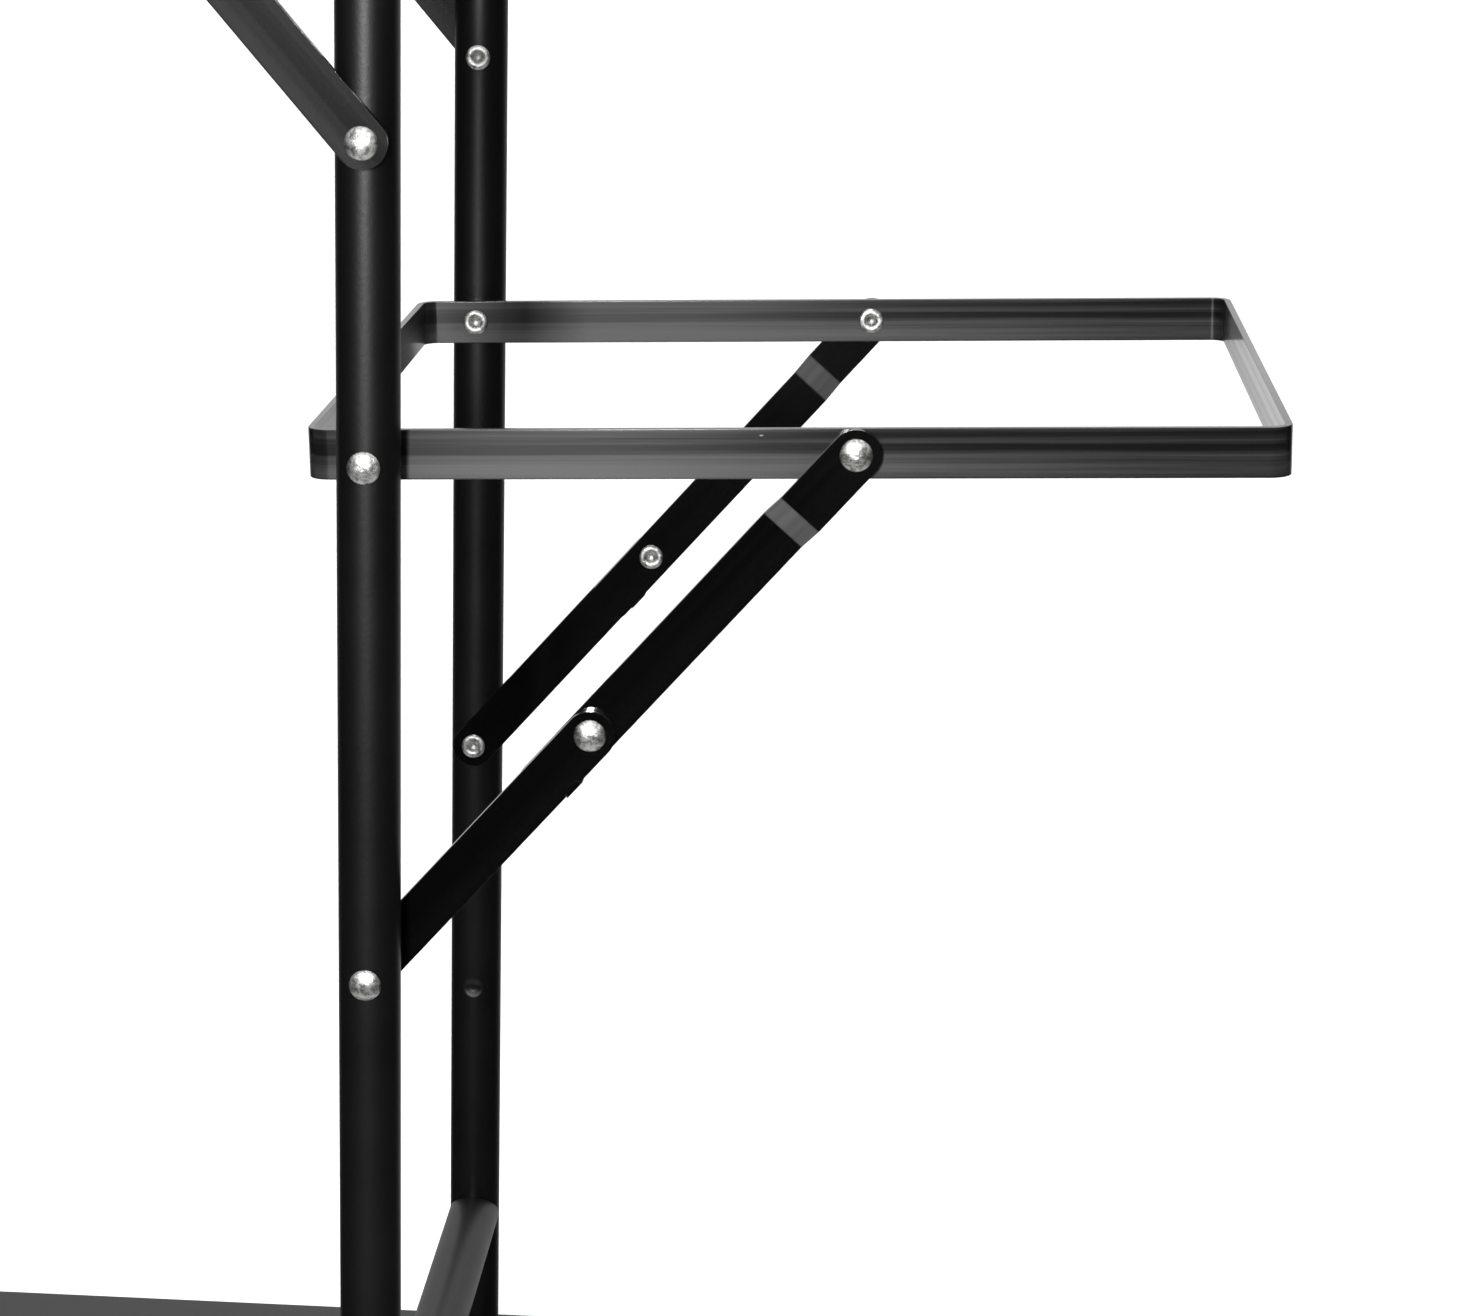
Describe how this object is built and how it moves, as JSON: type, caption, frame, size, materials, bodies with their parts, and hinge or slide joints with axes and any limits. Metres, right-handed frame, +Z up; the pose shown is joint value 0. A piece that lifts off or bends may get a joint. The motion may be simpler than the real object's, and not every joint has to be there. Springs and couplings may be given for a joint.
{
  "type": "valet stand",
  "caption": "Free-standing valet stand: two tube uprights on foot rails, a folding flat-bar tray frame in front and a folding hanging bail behind, on stopped two-link braces.",
  "frame": {"origin": "on the floor, midway between the two uprights", "axes": "+X forwards to the tray side, +Y to the left of the stand, +Z up"},
  "size_m": [0.7162, 0.392, 1.033],
  "materials": {
    "black_coated_tube": "satin",
    "black_flat_bar": "satin",
    "nickel_rivet": "polished",
    "zinc_washer": "satin",
    "black_screw": "satin",
    "black_plastic": "matte",
    "black_rubber": "matte"
  },
  "bodies": {
    "stand": {"right_upright": "black_coated_tube", "left_upright": "black_coated_tube", "right_foot_rail": "black_coated_tube", "left_foot_rail": "black_coated_tube", "top_rail": "black_coated_tube", "lower_rail": "black_coated_tube", "rail_end_plugs": "zinc_washer", "rail_bolts": "black_screw", "upright_foot_plugs": "zinc_washer", "foot_bolts": "black_screw", "upright_caps": "black_plastic", "foot_rail_caps": "black_plastic", "foot_glides": "black_rubber", "tray_hinge_rivets": "nickel_rivet", "tray_hinge_washers": "zinc_washer", "tray_brace_rivets": "nickel_rivet", "tray_brace_washers": "zinc_washer", "bail_hinge_rivets": "nickel_rivet", "bail_hinge_washers": "zinc_washer", "bail_brace_rivets": "nickel_rivet", "bail_brace_washers": "zinc_washer"},
    "tray": {"tray_frame": "black_flat_bar", "tray_frame_rivets": "nickel_rivet"},
    "bail": {"bail_frame": "black_flat_bar", "bail_frame_rivets": "nickel_rivet"},
    "right_tray_upper_brace": {"right_tray_upper_link": "black_flat_bar"},
    "right_tray_lower_brace": {"right_tray_lower_link": "black_flat_bar", "right_tray_elbow_rivet": "nickel_rivet", "right_tray_brace_rivet_end": "nickel_rivet"},
    "left_tray_upper_brace": {"left_tray_upper_link": "black_flat_bar"},
    "left_tray_lower_brace": {"left_tray_lower_link": "black_flat_bar", "left_tray_elbow_rivet": "nickel_rivet", "left_tray_brace_rivet_end": "nickel_rivet"},
    "right_bail_upper_brace": {"right_bail_upper_link": "black_flat_bar"},
    "right_bail_lower_brace": {"right_bail_lower_link": "black_flat_bar", "right_bail_elbow_rivet": "nickel_rivet", "right_bail_brace_rivet_head": "nickel_rivet"},
    "left_bail_upper_brace": {"left_bail_upper_link": "black_flat_bar"},
    "left_bail_lower_brace": {"left_bail_lower_link": "black_flat_bar", "left_bail_elbow_rivet": "nickel_rivet", "left_bail_brace_rivet_head": "nickel_rivet"}
  },
  "joints": [
    {"name": "tray_fold", "type": "hinge", "parent": "stand", "child": "tray", "pos_m": [0, 0, 0.56], "axis": [0, 1, 0], "range_deg": [0, 62.89]},
    {"name": "right_tray_brace_top", "type": "hinge", "parent": "tray", "child": "right_tray_upper_brace", "pos_m": [0.18887, -0.1585, 0.56709], "axis": [0, 1, 0], "range_deg": [-97.2, 0]},
    {"name": "right_tray_brace_elbow", "type": "hinge", "parent": "right_tray_upper_brace", "child": "right_tray_lower_brace", "pos_m": [0.08641, -0.1585, 0.44878], "axis": [0, 1, 0], "range_deg": [0, 139.3]},
    {"name": "left_tray_brace_top", "type": "hinge", "parent": "tray", "child": "left_tray_upper_brace", "pos_m": [0.18887, 0.1585, 0.56709], "axis": [0, 1, 0], "range_deg": [-97.2, 0]},
    {"name": "left_tray_brace_elbow", "type": "hinge", "parent": "left_tray_upper_brace", "child": "left_tray_lower_brace", "pos_m": [0.08641, 0.1585, 0.44878], "axis": [0, 1, 0], "range_deg": [0, 139.3]},
    {"name": "bail_fold", "type": "hinge", "parent": "stand", "child": "bail", "pos_m": [0, 0, 0.896], "axis": [0, 1, 0], "range_deg": [-62.89, 0]},
    {"name": "right_bail_brace_top", "type": "hinge", "parent": "bail", "child": "right_bail_upper_brace", "pos_m": [-0.18887, -0.1885, 0.90309], "axis": [0, 1, 0], "range_deg": [0, 97.2]},
    {"name": "right_bail_brace_elbow", "type": "hinge", "parent": "right_bail_upper_brace", "child": "right_bail_lower_brace", "pos_m": [-0.08641, -0.1885, 0.78478], "axis": [0, 1, 0], "range_deg": [-139.3, 0]},
    {"name": "left_bail_brace_top", "type": "hinge", "parent": "bail", "child": "left_bail_upper_brace", "pos_m": [-0.18887, 0.1885, 0.90309], "axis": [0, 1, 0], "range_deg": [0, 97.2]},
    {"name": "left_bail_brace_elbow", "type": "hinge", "parent": "left_bail_upper_brace", "child": "left_bail_lower_brace", "pos_m": [-0.08641, 0.1885, 0.78478], "axis": [0, 1, 0], "range_deg": [-139.3, 0]}
  ],
  "couplings": [
    {"joint": "right_tray_brace_top", "follows": "tray_fold", "ratio": -1.543},
    {"joint": "right_tray_brace_elbow", "follows": "tray_fold", "ratio": 2.2127},
    {"joint": "left_tray_brace_top", "follows": "tray_fold", "ratio": -1.543},
    {"joint": "left_tray_brace_elbow", "follows": "tray_fold", "ratio": 2.2127},
    {"joint": "right_bail_brace_top", "follows": "bail_fold", "ratio": -1.543},
    {"joint": "right_bail_brace_elbow", "follows": "bail_fold", "ratio": 2.2127},
    {"joint": "left_bail_brace_top", "follows": "bail_fold", "ratio": -1.543},
    {"joint": "left_bail_brace_elbow", "follows": "bail_fold", "ratio": 2.2127}
  ]
}
